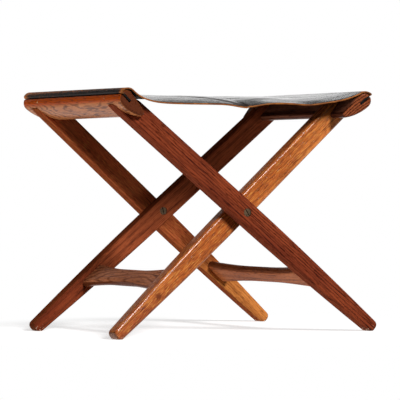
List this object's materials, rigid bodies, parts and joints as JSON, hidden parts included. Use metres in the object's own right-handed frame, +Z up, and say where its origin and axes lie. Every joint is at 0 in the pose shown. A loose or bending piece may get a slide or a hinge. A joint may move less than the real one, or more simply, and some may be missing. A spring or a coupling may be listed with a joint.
{
  "type": "folding stool",
  "caption": "Folding stool with crossed hardwood leg frames turning on slotted pivot screws, and a black leather seat slung between drop-shaped rails.",
  "frame": {"origin": "on the floor, below the middle of the open stool", "axes": "+X to the right, across the two rails; +Y to the rear, along the rails and the pivot axis; +Z up"},
  "size_m": [0.4759, 0.3674, 0.3954],
  "materials": {
    "rail_wood": "oiled",
    "leg_wood": "oiled",
    "stretcher_wood": "oiled",
    "wedge_wood": "stained dark",
    "peg_wood": "oiled",
    "pivot_steel": "dulled",
    "washer_brass": "satin",
    "seat_leather": "worn, half gloss"
  },
  "bodies": {
    "outer_frame": {"left_seat_rail": "rail_wood", "outer_front_leg": "leg_wood", "outer_rear_leg": "leg_wood", "right_stretcher": "stretcher_wood", "left_wedge_strip": "wedge_wood", "left_front_lip_peg": "peg_wood", "left_rear_lip_peg": "peg_wood", "outer_front_leg_peg": "peg_wood", "outer_rear_leg_peg": "peg_wood", "front_pivot_screw": "pivot_steel", "front_pivot_sleeve_nut": "pivot_steel", "front_pivot_washer": "washer_brass", "rear_pivot_screw": "pivot_steel", "rear_pivot_sleeve_nut": "pivot_steel", "rear_pivot_washer": "washer_brass", "leather_seat": "seat_leather"},
    "inner_frame": {"right_seat_rail": "rail_wood", "inner_front_leg": "leg_wood", "inner_rear_leg": "leg_wood", "left_stretcher": "stretcher_wood", "right_wedge_strip": "wedge_wood", "right_front_lip_peg": "peg_wood", "right_rear_lip_peg": "peg_wood", "inner_front_leg_peg": "peg_wood", "inner_rear_leg_peg": "peg_wood"}
  },
  "joints": [
    {"name": "fold", "type": "hinge", "parent": "outer_frame", "child": "inner_frame", "pos_m": [0, 0, 0.1975], "axis": [0, -1, 0], "range_deg": [0, 91], "deforming": ["leather_seat"]}
  ]
}
